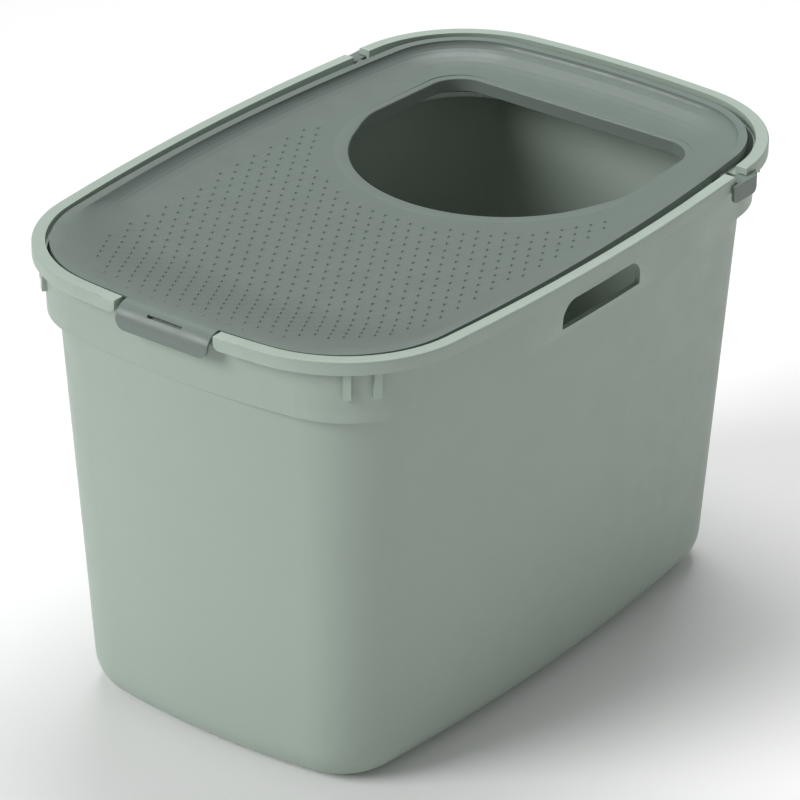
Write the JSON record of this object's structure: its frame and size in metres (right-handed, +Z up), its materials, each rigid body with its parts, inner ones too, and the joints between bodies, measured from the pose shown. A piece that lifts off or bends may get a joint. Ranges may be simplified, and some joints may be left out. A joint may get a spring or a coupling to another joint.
{
  "type": "top entry litter box",
  "caption": "Top entry cat litter box: deep tapered tub with a downturned rim, and a hinged dished lid with a D-shaped entry hole, latch tab and side hinge ears.",
  "frame": {"origin": "middle of the tub's flat bottom, on the surface that the box stands on", "axes": "+X along the box towards the end with the entry hole, +Y to the side, +Z up; the latch tab is at -X"},
  "size_m": [0.589, 0.392, 0.381],
  "materials": {
    "tub_plastic": "satin moulded polypropylene, light cool grey",
    "lid_plastic": "satin moulded polypropylene, mid cool grey"
  },
  "bodies": {
    "tub": {"tub": "tub_plastic"},
    "lid": {"lid": "lid_plastic"}
  },
  "joints": [
    {"name": "lid_hinge", "type": "hinge", "parent": "tub", "child": "lid", "pos_m": [0.172, 0, 0.3689], "axis": [0, 1, 0], "range_deg": [0, 38]}
  ]
}
